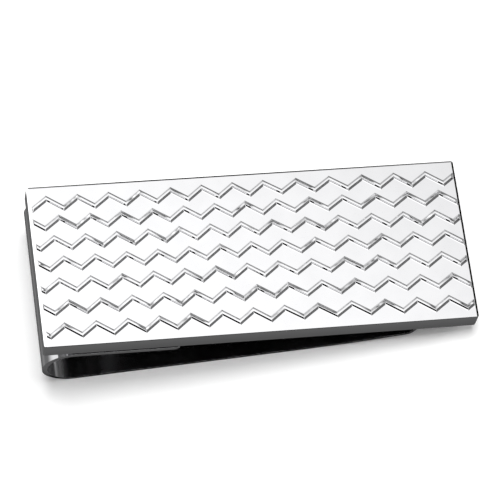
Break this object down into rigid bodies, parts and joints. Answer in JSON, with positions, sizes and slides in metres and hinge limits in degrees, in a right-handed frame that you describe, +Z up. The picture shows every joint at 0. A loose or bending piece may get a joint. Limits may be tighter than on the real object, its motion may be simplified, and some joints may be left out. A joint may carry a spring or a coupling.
{
  "type": "money clip",
  "caption": "Rectangular polished steel money clip: a thick face plate with raised zigzag ridges over a bent spring strip that grips folded banknotes under it.",
  "frame": {"origin": "on the table, under the middle of the clip's length and width as it lies on its arm", "axes": "+X from the bend to the open end, along the arm's flat stretch; +Y across the plate to its far long side; +Z up, on the side of the decorated face, which slopes down 8.1 degrees towards +X"},
  "size_m": [0.0534, 0.0212, 0.0114],
  "materials": {
    "face_steel": "polished",
    "spring_steel": "polished",
    "braze": "satin"
  },
  "bodies": {
    "arm": {"spring_arm": "spring_steel"},
    "face": {"face_plate": "face_steel", "braze_layer": "braze", "spring_root": "spring_steel"}
  },
  "joints": [
    {"name": "bend_flex", "type": "hinge", "parent": "arm", "child": "face", "pos_m": [-0.02276, 0, 0.0039], "axis": [0, -1, 0], "range_deg": [-0.4, 8], "stiffness_Nm_per_rad": 3.6}
  ]
}
